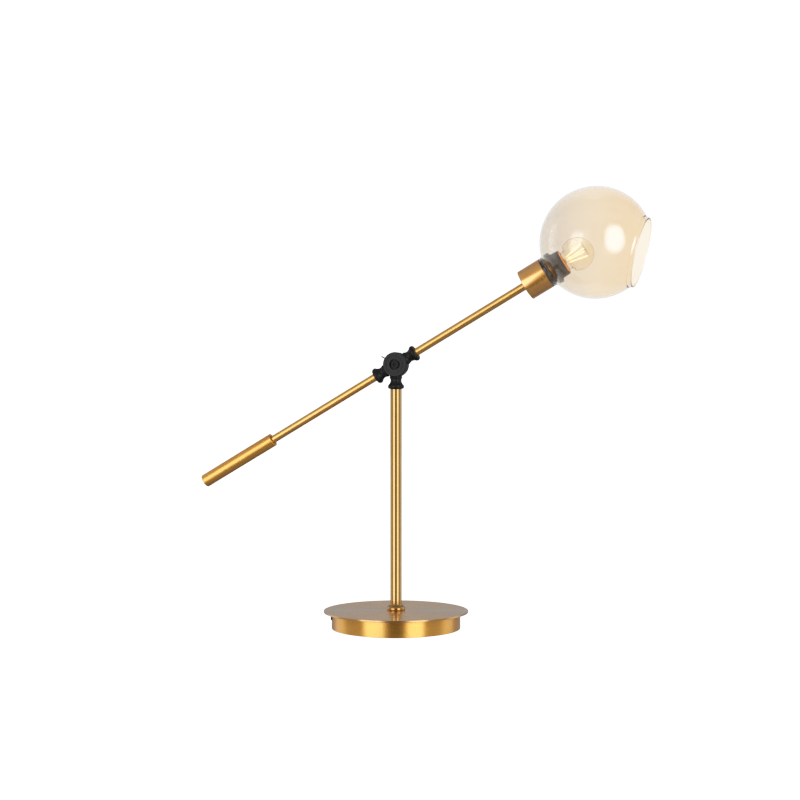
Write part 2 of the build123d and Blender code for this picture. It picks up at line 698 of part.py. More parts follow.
with BuildPart() as socket_shell:
    # screw shell with rounded turns and a rolled mouth
    with BuildSketch(ARM):
        with BuildLine():
            Spline((246.2, 13.5), (247.9, 13.9), (249.7, 13.5), (251.5, 13.9), (253.3, 13.5), (255.1, 13.9),
                   (256.9, 13.5), (258.7, 13.9), (260.5, 13.5), (262.3, 13.9), (264.1, 13.5), (266.0, 13.75),
                   (267.9, 13.75))
            Polyline((267.9, 13.75), (269.6, 14.7), (269.6, 15.6), (270.3, 15.6), (270.3, 14.3), (268.3, 13.35),
                     (266.0, 13.3))
            Line((266.0, 13.3), (246.2, 13.3))
            Line((246.2, 13.3), (246.2, 13.5))
        make_face()
    revolve(axis=ARM_AXIS)
finish(socket_shell, "socket_shell")

# ---- glass globe: sphere with a short neck towards the cup and a lipped opening
od = math.radians(arm_angle - opening_angle)
open_flat = Vector(math.cos(od), 0, math.sin(od))
OPEN_DIR = open_flat.rotate(Axis((0, 0, 0), U), opening_turn)
GLOBE = at(globe_s)
open_side = OPEN_DIR.cross(Vector(0, 1, 0)).normalized()
OPEN = Plane(origin=GLOBE, x_dir=OPEN_DIR, z_dir=OPEN_DIR.cross(open_side))
OPEN_AXIS = Axis(GLOBE, OPEN_DIR)
gi = globe_r - glass_t


def on_sphere(r, rho):
    return globe_s - math.sqrt(r * r - rho * rho)


# the concave turn touches the neck's cylinder and the sphere
turn_r = 4.0
turn_c = (on_sphere(globe_r + turn_r, glass_neck_r + turn_r), glass_neck_r + turn_r)
turn_k = globe_r / (globe_r + turn_r)
turn_q = (globe_s + (turn_c[0] - globe_s) * turn_k, turn_c[1] * turn_k)

lip_in = math.sqrt(gi ** 2 - opening_r ** 2)
lip_out = math.sqrt(globe_r ** 2 - 49.6 ** 2)

with BuildPart() as shade_globe:
    # sphere and the rounded lip of its opening, one profile turned about the opening's axis
    with BuildSketch(OPEN):
        with BuildLine():
            Line((-globe_r, 0), (-gi, 0))
            ThreePointArc((-gi, 0), (0, gi), (lip_in, opening_r))
            Line((lip_in, opening_r), (lip_d, opening_r))
            ThreePointArc((lip_d, opening_r), (lip_d + 1.3, 46.0), (lip_d, 47.3))
            ThreePointArc((lip_d, 47.3), (58.5, 47.7), (lip_out, 49.6))
            ThreePointArc((lip_out, 49.6), (0, globe_r), (-globe_r, 0))
        make_face()
    revolve(axis=OPEN_AXIS)
    # hole towards the cup
    with BuildSketch(across(240.0)):
        Circle(glass_hole_r)
    extrude(amount=40, mode=Mode.SUBTRACT)
    # neck with its small concave turn
    with BuildSketch(ARM):
        with BuildLine():
            Line((243.85, glass_hole_r), (243.85, glass_neck_r))
            Line((243.85, glass_neck_r), (turn_c[0], glass_neck_r))
            ThreePointArc((turn_c[0], glass_neck_r), arc_mid((turn_c[0], glass_neck_r), turn_q, turn_c), turn_q)
            Line(turn_q, (on_sphere(74.0, glass_neck_r), glass_neck_r))
            Line((on_sphere(74.0, glass_neck_r), glass_neck_r), (on_sphere(73.4, glass_hole_r), glass_hole_r))
            Line((on_sphere(73.4, glass_hole_r), glass_hole_r), (243.85, glass_hole_r))
        make_face()
    revolve(axis=ARM_AXIS)
finish(shade_globe, "shade_globe")

# ---- bulb
cap_s1 = 271.5


with BuildPart() as bulb_glass:
    bt = 0.8
    with BuildSketch(ARM):
        with BuildLine():
            out_neck = (276.0, 13.6)
            Line((264.0, 12.0 - bt), (264.0, 12.0))
            Line((264.0, 12.0), (271.0, 12.0))
            Spline((271.0, 12.0), out_neck, (bulb_s - 22.5 * math.cos(math.radians(55)), 22.5 * math.sin(math.radians(55))),
                   tangents=((1, 0), (math.sin(math.radians(55)), math.cos(math.radians(55)))))
            ThreePointArc((bulb_s - 22.5 * math.cos(math.radians(55)), 22.5 * math.sin(math.radians(55))),
                          (bulb_s + 22.5 * math.cos(math.radians(60)), 22.5 * math.sin(math.radians(60))),
                          (bulb_s + 22.5, 0))
            Line((bulb_s + 22.5, 0), (bulb_s + 22.5 - bt, 0))
            ThreePointArc((bulb_s + 22.5 - bt, 0),
                          (bulb_s + (22.5 - bt) * math.cos(math.radians(60)), (22.5 - bt) * math.sin(math.radians(60))),
                          (bulb_s - (22.5 - bt) * math.cos(math.radians(55)), (22.5 - bt) * math.sin(math.radians(55))))
            Spline((bulb_s - (22.5 - bt) * math.cos(math.radians(55)), (22.5 - bt) * math.sin(math.radians(55))),
                   (276.3, 13.6 - bt), (271.0, 12.0 - bt),
                   tangents=((-math.sin(math.radians(55)), -math.cos(math.radians(55))), (-1, 0)))
            Line((271.0, 12.0 - bt), (264.0, 12.0 - bt))
        make_face()
    revolve(axis=ARM_AXIS)
finish(bulb_glass, "bulb_glass")

with BuildPart() as bulb_cap:
    # thin screw cap with rounded turns, plain collar at the glass
    with BuildSketch(ARM):
        with BuildLine():
            Line((251.0, 11.4), (251.0, 12.3))
            Spline((251.0, 12.3), (252.4, 13.0), (254.2, 12.35), (256.0, 13.0), (257.8, 12.35), (259.6, 13.0),
                   (261.4, 12.35), (263.2, 13.0), (265.0, 12.6), (267.0, 12.6))
            Polyline((267.0, 12.6), (cap_s1 - 0.4, 12.7), (cap_s1, 12.4), (cap_s1, 12.1), (251.8, 12.1), (251.8, 11.4),
                     (251.0, 11.4))
        make_face()
    revolve(axis=ARM_AXIS)
finish(bulb_cap, "bulb_cap")

with BuildPart() as bulb_cap_insulator:
    with BuildSketch(ARM):
        with BuildLine():
            Polyline((248.6, 4.3), (248.6, 5.2), (250.9, 10.8), (252.6, 11.3), (252.6, 4.3), close=True)
        make_face()
    revolve(axis=ARM_AXIS)
finish(bulb_cap_insulator, "bulb_cap_insulator")

with BuildPart() as bulb_contact:
    with BuildSketch(across(247.7)):
        Circle(4.2)
    extrude(amount=4.0)
    fillet(bulb_contact.edges().filter_by(GeomType.CIRCLE).sort_by(Axis.X)[0:1], radius=0.7)
finish(bulb_contact, "bulb_contact")

with BuildPart() as bulb_stem:
    # glass mount inside the bulb: flared foot, waist, rounded pinch
    with BuildSketch(ARM):
        with BuildLine():
            Line((264.2, 0), (264.2, 10.8))
            Spline((264.2, 10.8), (267.0, 5.5), (272.0, 3.1), (278.0, 2.6), (281.5, 1.9), (282.5, 0))
            Line((282.5, 0), (264.2, 0))
        make_face()
    revolve(axis=ARM_AXIS)
finish(bulb_stem, "bulb_stem")

fil_a = (275.5, 3.9)
fil_b = (302.5, 9.6)
fil_len = math.hypot(fil_b[0] - fil_a[0], fil_b[1] - fil_a[1])
fil_angles = (20.0, 110.0, 200.0, 290.0)


def around(s, rho, deg):
    a = math.radians(deg)
    return at(s, rho * math.cos(a), -rho * math.sin(a))


with BuildPart() as bulb_filaments:
    for deg in fil_angles:
        p0 = around(fil_a[0], fil_a[1], deg)
        p1 = around(fil_b[0], fil_b[1], deg)
        with BuildSketch(Plane(origin=p0, z_dir=p1 - p0)):
            Circle(0.95)
        extrude(amount=fil_len)
finish(bulb_filaments, "bulb_filaments")

with BuildPart() as bulb_support_wires:
    # centre post with a small crown that carries the far ends of the filaments
    with BuildSketch(across(282.6)):
        Circle(0.5)
    extrude(amount=304.2 - 282.6)
    for deg in fil_angles:
        p0 = around(303.9, 0.0, deg)
        p1 = around(303.3, 9.4, deg)
        with BuildSketch(Plane(origin=p0, z_dir=p1 - p0)):
            Circle(0.35)
        extrude(amount=(p1 - p0).length)
finish(bulb_support_wires, "bulb_support_wires")

print("pieces:", len(os.listdir("parts")))
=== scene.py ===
import math

import bmesh
import bpy
from mathutils import Matrix, Vector


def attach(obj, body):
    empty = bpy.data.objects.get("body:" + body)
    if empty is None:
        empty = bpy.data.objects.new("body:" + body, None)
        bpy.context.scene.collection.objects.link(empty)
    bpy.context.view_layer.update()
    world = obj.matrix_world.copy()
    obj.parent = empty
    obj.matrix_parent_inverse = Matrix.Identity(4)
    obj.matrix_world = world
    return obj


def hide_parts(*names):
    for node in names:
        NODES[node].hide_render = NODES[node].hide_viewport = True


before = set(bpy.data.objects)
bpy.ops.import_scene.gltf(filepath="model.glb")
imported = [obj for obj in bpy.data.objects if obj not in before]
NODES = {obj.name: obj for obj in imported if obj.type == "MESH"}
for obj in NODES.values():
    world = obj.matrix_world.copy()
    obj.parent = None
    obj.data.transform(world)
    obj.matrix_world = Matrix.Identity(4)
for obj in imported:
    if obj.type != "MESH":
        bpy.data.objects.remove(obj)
scene = bpy.context.scene
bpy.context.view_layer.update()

MM = 0.001
BASE, KNUCKLE, ARM = "base_and_column", "knuckle", "arm"

# ------------------------------------------------------------------ the CAD's own frames, in millimetres
PIVOT_Z = 365.0
ARM_DEG = 30.1
CA, SA = math.cos(math.radians(ARM_DEG)), math.sin(math.radians(ARM_DEG))
U = Vector((CA, 0, SA))
V = Vector((-SA, 0, CA))
PIVOT = Vector((0, 0, PIVOT_Z))
GLOBE_S, GLOBE_R, GLASS_T = 320.0, 75.0, 2.0


def axes(origin, z, x):
    """Matrix, in metres, whose local Z runs along z and local X near x."""
    z = z.normalized()
    x = (x - z * x.dot(z)).normalized()
    y = z.cross(x)
    m = Matrix((x, y, z)).transposed().to_4x4()
    m.translation = origin * MM
    return m


UP = axes(Vector((0, 0, 0)), Vector((0, 0, 1)), Vector((1, 0, 0)))
ALONG = axes(PIVOT, U, V)
BACK = axes(PIVOT, -U, V)


# ------------------------------------------------------------------ profiles
def rounded(points, steps=5):
    """A closed or open polyline of (a, r) or (a, r, fillet); each corner with a fillet becomes an arc."""
    out = []
    n = len(points)
    for i, p in enumerate(points):
        f = p[2] if len(p) > 2 else 0
        if not f or i == 0 or i == n - 1:
            out.append((p[0], p[1]))
            continue
        q = Vector(p[:2])
        a = Vector(points[i - 1][:2]) - q
        b = Vector(points[i + 1][:2]) - q
        la, lb = a.length, b.length
        a.normalize()
        b.normalize()
        half = a.angle(b) / 2
        t = min(f / math.tan(half), la * 0.49, lb * 0.49)
        f = t * math.tan(half)
        c = q + (a + b).normalized() * (f / math.sin(half))
        s, e = q + a * t - c, q + b * t - c
        turn = s.angle(e)
        cross = s.x * e.y - s.y * e.x
        for k in range(steps + 1):
            w = turn * k / steps * (1 if cross > 0 else -1)
            out.append((c.x + s.x * math.cos(w) - s.y * math.sin(w), c.y + s.x * math.sin(w) + s.y * math.cos(w)))
    return out


def arc(p, q, c, steps=12):
    """Points after p on the shorter arc from p to q about c."""
    a0 = math.atan2(p[1] - c[1], p[0] - c[0])
    a1 = math.atan2(q[1] - c[1], q[0] - c[0])
    d = (a1 - a0 + math.pi) % (2 * math.pi) - math.pi
    r0, r1 = math.dist(p, c), math.dist(q, c)
    return [(c[0] + (r0 + (r1 - r0) * k / steps) * math.cos(a0 + d * k / steps),
             c[1] + (r0 + (r1 - r0) * k / steps) * math.sin(a0 + d * k / steps)) for k in range(1, steps + 1)]


def smooth(points, steps=6):
    """Catmull-Rom through the points."""
    out = []
    n = len(points)
    for i in range(n - 1):
        p0, p1, p2, p3 = points[max(i - 1, 0)], points[i], points[i + 1], points[min(i + 2, n - 1)]
        for k in range(steps):
            t = k / steps
            out.append(tuple(0.5 * (2 * p1[j] + (p2[j] - p0[j]) * t + (2 * p0[j] - 5 * p1[j] + 4 * p2[j] - p3[j]) * t * t
                                    + (3 * p1[j] - p0[j] - 3 * p2[j] + p3[j]) * t ** 3) for j in (0, 1)))
    out.append(tuple(points[-1]))
    return out


# ------------------------------------------------------------------ meshes
def put(name, verts, faces, matrix, body, material, replaces=(), sharp=32):
    mesh = bpy.data.meshes.new(name)
    mesh.from_pydata(verts, [], faces)
    mesh.transform(matrix)
    mesh.validate()
    bm = bmesh.new()
    bm.from_mesh(mesh)
    bmesh.ops.recalc_face_normals(bm, faces=bm.faces)
    bm.to_mesh(mesh)
    bm.free()
    for p in mesh.polygons:
        p.use_smooth = True
    mesh.set_sharp_from_angle(angle=math.radians(sharp))
    obj = bpy.data.objects.new(name, mesh)
    scene.collection.objects.link(obj)
    obj.data.materials.append(material)
    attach(obj, body)
    if replaces:
        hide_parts(*replaces)
    return obj


def lathe(name, loop, matrix, body, material, replaces=(), seg=192, sharp=32, wave=None):
    """A closed loop of (along, radius), in millimetres, turned about the matrix's Z."""
    verts, faces, rows = [], [], []
    for a, r in loop:
        if r < 1e-6:
            rows.append([len(verts)])
            verts.append((0, 0, a * MM))
        else:
            rows.append(list(range(len(verts), len(verts) + seg)))
            for k in range(seg):
                w = 2 * math.pi * k / seg
                rr = r + (wave(a, r, w) if wave else 0)
                verts.append((rr * MM * math.cos(w), rr * MM * math.sin(w), a * MM))
    n = len(rows)
    for i in range(n):
        a, b = rows[i], rows[(i + 1) % n]
        if len(a) == 1 and len(b) == 1:
            continue
        for k in range(seg):
            k2 = (k + 1) % seg
            if len(a) == 1:
                faces.append((a[0], b[k2], b[k]))
            elif len(b) == 1:
                faces.append((a[k], a[k2], b[0]))
            else:
                faces.append((a[k], a[k2], b[k2], b[k]))
    return put(name, verts, faces, matrix, body, material, replaces, sharp)


def cut(obj, cutters):
    """Takes the cutters' shapes out of obj and removes them."""
    for c in cutters:
        m = obj.modifiers.new("cut", "BOOLEAN")
        m.operation = "DIFFERENCE"
        m.solver = "EXACT"
        m.object = c
    bpy.context.view_layer.update()
    done = bpy.data.meshes.new_from_object(obj.evaluated_get(bpy.context.evaluated_depsgraph_get()))
    obj.modifiers.clear()
    obj.data = done
    for c in cutters:
        bpy.data.objects.remove(c)


def rod_mesh(name, radius, a, b, matrix, seg=48):
    """A plain tool for cut(): a closed rod from a to b, in millimetres."""
    bm = bmesh.new()
    bmesh.ops.create_cone(bm, cap_ends=True, segments=seg, radius1=radius * MM, radius2=radius * MM,
                          depth=(b - a) * MM, matrix=Matrix.Translation((0, 0, (a + b) / 2 * MM)))
    mesh = bpy.data.meshes.new(name)
    bm.to_mesh(mesh)
    bm.free()
    obj = bpy.data.objects.new(name, mesh)
    scene.collection.objects.link(obj)
    obj.matrix_world = matrix
    return obj


# ------------------------------------------------------------------ materials
class Nodes:
    """Short hands for building a node tree."""

    def __init__(self, tree):
        self.t = tree

    def add(self, kind, **values):
        n = self.t.nodes.new(kind)
        for k, v in values.items():
            setattr(n, k, v)
        return n

    def link(self, a, b):
        self.t.links.new(a, b)

    def math(self, op, a, b=None, clamp=False):
        n = self.add("ShaderNodeMath", operation=op, use_clamp=clamp)
        for i, v in enumerate((a, b)):
            if v is None:
                continue
            if isinstance(v, (int, float)):
                n.inputs[i].default_value = v
            else:
                self.link(v, n.inputs[i])
        return n.outputs[0]

    def ramp(self, value, lo, hi, a=0.0, b=1.0, kind="SMOOTHSTEP"):
        n = self.add("ShaderNodeMapRange", interpolation_type=kind)
        self.link(value, n.inputs["Value"])
        for k, v in (("From Min", lo), ("From Max", hi), ("To Min", a), ("To Max", b)):
            n.inputs[k].default_value = v
        return n.outputs["Result"]

    def noise(self, vector, scale, detail=2.0, rough=0.5, dims="3D"):
        n = self.add("ShaderNodeTexNoise", noise_dimensions=dims)
        self.link(vector, n.inputs["Vector"])
        n.inputs["Scale"].default_value = scale
        n.inputs["Detail"].default_value = detail
        n.inputs["Roughness"].default_value = rough
        return n.outputs["Fac"]

    def combine(self, x, y, z):
        n = self.add("ShaderNodeCombineXYZ")
        for i, v in enumerate((x, y, z)):
            if isinstance(v, (int, float)):
                n.inputs[i].default_value = v
            else:
                self.link(v, n.inputs[i])
        return n.outputs[0]

    def mix(self, fac, a, b):
        n = self.add("ShaderNodeMix", data_type="RGBA")
        self.link(fac, n.inputs["Factor"])
        n.inputs[6].default_value = (*a, 1)
        n.inputs[7].default_value = (*b, 1)
        return n.outputs[2]


def new_material(name):
    m = bpy.data.materials.new(name)
    m.use_nodes = True
    t = m.node_tree
    t.nodes.clear()
    n = Nodes(t)
    out = n.add("ShaderNodeOutputMaterial")
    p = n.add("ShaderNodeBsdfPrincipled")
    n.link(p.outputs[0], out.inputs["Surface"])
    return m, n, p, out


def local(n, matrix=None):
    """Object coordinates in metres, turned into the frame that the matrix gives."""
    c = n.add("ShaderNodeTexCoord").outputs["Object"]
    if matrix is None:
        return c
    inv = matrix.inverted()
    m = n.add("ShaderNodeMapping", vector_type="POINT")
    n.link(c, m.inputs["Vector"])
    m.inputs["Location"].default_value = inv.translation
    m.inputs["Rotation"].default_value = inv.to_euler()
    return m.outputs["Vector"]


def around(n, matrix=None):
    """The direction round the frame's Z axis, for brushed highlights."""
    if matrix is None:
        return n.add("ShaderNodeTangent", direction_type="RADIAL", axis="Z").outputs[0]
    sub = n.add("ShaderNodeVectorMath", operation="SUBTRACT")
    n.link(n.add("ShaderNodeTexCoord").outputs["Object"], sub.inputs[0])
    sub.inputs[1].default_value = matrix.translation
    cross = n.add("ShaderNodeVectorMath", operation="CROSS_PRODUCT")
    cross.inputs[0].default_value = matrix.to_3x3() @ Vector((0, 0, 1))
    n.link(sub.outputs[0], cross.inputs[1])
    turn = n.add("ShaderNodeVectorTransform", vector_type="VECTOR", convert_from="OBJECT", convert_to="WORLD")
    n.link(cross.outputs[0], turn.inputs[0])
    return turn.outputs[0]


def brass(name, colour, rough, aniso=0.5, turned=True, lines=5000.0, bump=0.02, coat=0.3, coat_rough=0.12,
          matrix=None, tangent=True, spots=0.5, coat_ior=1.5, glow=None, edge=None):
    """Brushed and lacquered brass. Its lines run round the piece's axis (turned) or along it.

    edge gives two heights and a colour: below the first the brass is multiplied by that colour, fading out by the
    second. This is painted shade that dims a rim's highlight."""
    m, n, p, out = new_material(name)
    c = local(n, matrix)
    s = n.add("ShaderNodeSeparateXYZ")
    n.link(c, s.inputs[0])
    x, y, z = s.outputs
    if turned:
        r = n.math("SQRT", n.math("ADD", n.math("MULTIPLY", x, x), n.math("MULTIPLY", y, y)))
        w = n.math("ARCTAN2", y, x)
        # the angle runs to and fro, so the noise has no seam behind the piece
        w = n.math("ABSOLUTE", w)
        fine = n.combine(n.math("MULTIPLY", r, lines), n.math("MULTIPLY", z, lines), n.math("MULTIPLY", w, 9.0))
        broad = n.combine(n.math("MULTIPLY", r, 700.0), n.math("MULTIPLY", z, 700.0), n.math("MULTIPLY", w, 2.2))
    else:
        fine = n.combine(n.math("MULTIPLY", x, lines), n.math("MULTIPLY", y, lines), n.math("MULTIPLY", z, lines * 0.012))
        broad = n.combine(n.math("MULTIPLY", x, 900.0), n.math("MULTIPLY", y, 900.0), n.math("MULTIPLY", z, 14.0))
    hair = n.noise(fine, 1.0, 2.0, 0.6)
    streak = n.noise(broad, 1.0, 3.0, 0.55)
    cloud = n.noise(c, 38.0, 4.0, 0.6)
    # colour: brass with a slightly deeper tone along streaks and in soft clouds
    deep = tuple(v * k for v, k in zip(colour, (0.90, 0.84, 0.72)))
    light = tuple(min(1.0, v * k) for v, k in zip(colour, (1.04, 1.06, 1.12)))
    f = n.math("ADD", n.math("MULTIPLY", n.ramp(streak, 0.3, 0.7), 0.55), n.math("MULTIPLY", n.ramp(cloud, 0.35, 0.7), 0.45))
    tone = n.mix(f, deep, light)
    # painted shade: below the edge heights the tone is multiplied by a darker colour, dimming the rim's highlight
    if edge:
        painted_rim_shade = n.add("ShaderNodeMix", data_type="RGBA", blend_type="MULTIPLY")
        n.link(n.ramp(z, edge[0], edge[1], 1.0, 0.0), painted_rim_shade.inputs["Factor"])
        n.link(tone, painted_rim_shade.inputs[6])
        painted_rim_shade.inputs[7].default_value = (*edge[2], 1)
        tone = painted_rim_shade.outputs[2]
    n.link(tone, p.inputs["Base Color"])
    p.inputs["Metallic"].default_value = 1.0
    # roughness: streaks, hairlines and a few duller clouds
    rr = n.math("ADD", n.ramp(streak, 0.25, 0.75, rough * 0.86, rough * 1.1), n.ramp(hair, 0.3, 0.7, -0.03, 0.05))
    rr = n.math("ADD", rr, n.ramp(cloud, 0.52, 0.78, 0.0, 0.07 * spots))
    n.link(rr, p.inputs["Roughness"])
    p.inputs["Anisotropic"].default_value = aniso
    # the highlight spreads across the lines
    p.inputs["Anisotropic Rotation"].default_value = 0.25 if turned else 0.0
    if tangent:
        n.link(around(n, matrix), p.inputs["Tangent"])
    p.inputs["Coat Weight"].default_value = coat
    p.inputs["Coat Roughness"].default_value = coat_rough
    p.inputs["Coat IOR"].default_value = coat_ior
    # painted light: a constant emission standing in for light falling on the metal
    if glow:
        p.inputs["Emission Color"].default_value = (*glow[0], 1)
        p.inputs["Emission Strength"].default_value = glow[1]
    b = n.add("ShaderNodeBump")
    b.inputs["Strength"].default_value = 0.35
    b.inputs["Distance"].default_value = bump * MM
    n.link(n.math("ADD", hair, n.math("MULTIPLY", streak, 0.8)), b.inputs["Height"])
    n.link(b.outputs[0], p.inputs["Normal"])
    return m


def coated(name, colour, rough, metallic=0.0, coat=0.0, coat_rough=0.1, grain=900.0, depth=0.012, vary=0.25, specular=0.5,
           patch=26.0, spread=0.08):
    """Lacquer, steel, rubber and the like: fine grain in the bump, soft patches in roughness and colour."""
    m, n, p, out = new_material(name)
    c = local(n)
    g = n.noise(c, grain, 3.0, 0.6)
    k = n.noise(c, patch, 4.0, 0.6)
    d = n.noise(c, grain * 0.22, 2.0, 0.5)
    a = tuple(v * (1 - vary) for v in colour)
    b = tuple(min(1.0, v * (1 + vary)) for v in colour)
    n.link(n.mix(n.ramp(k, 0.3, 0.7), a, b), p.inputs["Base Color"])
    p.inputs["Metallic"].default_value = metallic
    n.link(n.math("ADD", n.ramp(k, 0.3, 0.72, rough - spread / 2, rough + spread / 2), n.ramp(d, 0.4, 0.75, 0.0, spread * 0.6)),
           p.inputs["Roughness"])
    p.inputs["Specular IOR Level"].default_value = specular
    p.inputs["Coat Weight"].default_value = coat
    p.inputs["Coat Roughness"].default_value = coat_rough
    w = n.add("ShaderNodeBump")
    w.inputs["Strength"].default_value = 0.3
    w.inputs["Distance"].default_value = depth * MM
    n.link(n.math("ADD", g, n.math("MULTIPLY", d, 0.7)), w.inputs["Height"])
    n.link(w.outputs[0], p.inputs["Normal"])
    return m


# painted shade: the plate's rim below 25.15 mm is darkened by the edge colour, which dims its highlight
plate_brass = brass("plate_brass_turned", (0.95, 0.57, 0.24), 0.28, aniso=0.93, lines=4200, bump=0.004, coat=0.9, coat_rough=0.18,
                    spots=0.0, edge=(0.02515, 0.02555, (0.62, 0.58, 0.5)))
drum_brass = brass("drum_brass_turned", (0.84, 0.40, 0.048), 0.36, aniso=0.92, lines=5200, bump=0.012, coat=0.42, coat_rough=0.16,
                   spots=0.4, coat_ior=1.85)
# painted shade: the column's brass is about half as bright as the drum's, standing in for the dimmer light on it
column_brass = brass("column_brass_turned", (0.45, 0.235, 0.043), 0.09, aniso=0.4, lines=6000, bump=0.008, coat=0.8, coat_rough=0.06,
                     coat_ior=1.7)
arm_brass = brass("arm_brass_drawn", (0.71, 0.37, 0.08), 0.31, aniso=0.3, turned=False, lines=5200, bump=0.012, coat=0.9,
                  coat_rough=0.16, matrix=ALONG)
weight_brass = brass("weight_brass_drawn", (0.75, 0.365, 0.072), 0.36, aniso=0.3, turned=False, lines=5200, bump=0.012, coat=0.5,
                     coat_rough=0.2, matrix=ALONG)
cup_brass = brass("cup_brass_turned", (0.82, 0.375, 0.055), 0.30, aniso=0.45, lines=5200, bump=0.012, coat=0.9, coat_rough=0.12,
                  matrix=ALONG, coat_ior=1.95)
inner_brass = brass("inner_brass", (0.62, 0.33, 0.085), 0.36, aniso=0.0, turned=False, lines=2500, tangent=False, coat=0.0)
black = coated("black_lacquer", (0.0085, 0.0085, 0.0095), 0.40, specular=0.13, coat=0.10, coat_rough=0.22, grain=1400, depth=0.006,
               vary=0.3)
dark_steel = coated("blackened_steel", (0.010, 0.010, 0.011), 0.34, specular=0.2, coat=0.15, coat_rough=0.15, grain=1200, depth=0.005)
bolt_black = coated("bolt_black", (0.0055, 0.0055, 0.006), 0.36, specular=0.09, coat=0.05, coat_rough=0.2, grain=1400, depth=0.006)
steel = coated("zinc_steel", (0.52, 0.51, 0.49), 0.32, metallic=1.0, grain=1200, depth=0.008)
cover_steel = coated("painted_steel", (0.05, 0.05, 0.05), 0.45, grain=800, depth=0.02)
iron = coated("cast_iron", (0.09, 0.09, 0.09), 0.62, metallic=0.3, grain=500, depth=0.1, vary=0.35)
rubber = coated("black_rubber", (0.013, 0.013, 0.013), 0.52, grain=1100, depth=0.02, specular=0.4)
nylon = coated("nylon_washer", (0.02, 0.02, 0.02), 0.42, grain=900, depth=0.01)
ceramic = coated("glazed_ceramic", (0.78, 0.76, 0.71), 0.22, coat=0.4, grain=300, depth=0.02, vary=0.04)
sheath = coated("lead_sheath", (0.30, 0.29, 0.27), 0.4, grain=900, depth=0.01, vary=0.08)
holder_black = coated("moulded_black", (0.060, 0.045, 0.032), 0.38, specular=0.45, coat=0.15, coat_rough=0.25, grain=1200, depth=0.012)
# painted light: the socket shell and bulb cap glow faintly orange, standing in for the filament's light on them
copper = brass("copper_shell_painted_glow", (0.86, 0.40, 0.17), 0.30, aniso=0.2, lines=3000, coat=0.0, matrix=ALONG, tangent=False,
               glow=((1.0, 0.42, 0.16), 0.95))
cap_metal = brass("bulb_cap_brass_painted_glow", (0.86, 0.47, 0.20), 0.28, aniso=0.2, lines=3000, coat=0.0, matrix=ALONG, tangent=False,
                  glow=((1.0, 0.46, 0.18), 0.6))
black_glass = coated("black_vitrite", (0.010, 0.010, 0.012), 0.12, grain=500, depth=0.01)
wire = coated("molybdenum_wire", (0.46, 0.45, 0.43), 0.3, metallic=1.0, grain=2000, depth=0.004)


def felt_material():
    m, n, p, out = new_material("black_felt")
    c = local(n)
    fibre = n.noise(c, 1500.0, 5.0, 0.75)
    tuft = n.noise(c, 240.0, 4.0, 0.6)
    f = n.math("ADD", n.math("MULTIPLY", fibre, 0.6), n.math("MULTIPLY", tuft, 0.4))
    n.link(n.mix(n.ramp(f, 0.35, 0.65), (0.008, 0.008, 0.009), (0.034, 0.033, 0.034)), p.inputs["Base Color"])
    p.inputs["Roughness"].default_value = 0.95
    p.inputs["Sheen Weight"].default_value = 0.35
    p.inputs["Sheen Roughness"].default_value = 0.6
    b = n.add("ShaderNodeBump")
    b.inputs["Strength"].default_value = 0.9
    b.inputs["Distance"].default_value = 0.25 * MM
    n.link(f, b.inputs["Height"])
    n.link(b.outputs[0], p.inputs["Normal"])
    return m


def glass_material(name, tones, ior=1.5, wobble=0.02):
    """Blown glass, toned along X from the neck (0.20 m) to the mouth (0.35 m), with faint waves in the bump."""
    m, n, p, out = new_material(name)
    c = local(n)
    s = n.add("ShaderNodeSeparateXYZ")
    n.link(c, s.inputs[0])
    drift = n.math("ADD", s.outputs[0], n.math("MULTIPLY", n.math("SUBTRACT", n.noise(c, 14.0, 2.0), 0.5), 0.025))
    ramp = n.add("ShaderNodeValToRGB")
    n.link(n.ramp(drift, 0.20, 0.35, kind="LINEAR"), ramp.inputs["Fac"])
    stops = ramp.color_ramp.elements
    while len(stops) > 1:
        stops.remove(stops[-1])
    for k, (at, tone) in enumerate(tones):
        stop = stops[0] if k == 0 else stops.new(at)
        stop.position = at
        stop.color = (*tone, 1)
    n.link(ramp.outputs["Color"], p.inputs["Base Color"])
    p.inputs["Transmission Weight"].default_value = 1.0
    p.inputs["Roughness"].default_value = 0.0
    p.inputs["IOR"].default_value = ior
    b = n.add("ShaderNodeBump")
    b.inputs["Strength"].default_value = 0.25
    b.inputs["Distance"].default_value = wobble * MM
    n.link(n.math("ADD", n.noise(c, 30.0, 2.0), n.math("MULTIPLY", n.noise(c, 240.0, 2.0), 0.06)), b.inputs["Height"])
    n.link(b.outputs[0], p.inputs["Normal"])
    return m


def glow_material():
    m, n, p, out = new_material("filament_glow")
    c = local(n)
    v = n.noise(c, 900.0, 2.0, 0.5)
    colour = n.mix(n.ramp(v, 0.35, 0.65), (1.0, 0.84, 0.46), (1.0, 0.92, 0.62))
    n.link(colour, p.inputs["Base Color"])
    n.link(colour, p.inputs["Emission Color"])
    p.inputs["Emission Strength"].default_value = 2.0
    p.inputs["Roughness"].default_value = 0.45
    return m


felt = felt_material()
amber = glass_material("champagne_glass", [(0.08, (0.70, 0.648, 0.585)), (0.48, (0.822, 0.722, 0.602)), (0.82, (0.832, 0.702, 0.55))], ior=1.4)
clear = glass_material("bulb_clear_glass", [(0.1, (0.985, 0.96, 0.90)), (0.5, (0.985, 0.94, 0.855))], ior=1.17, wobble=0.01)
glow = glow_material()

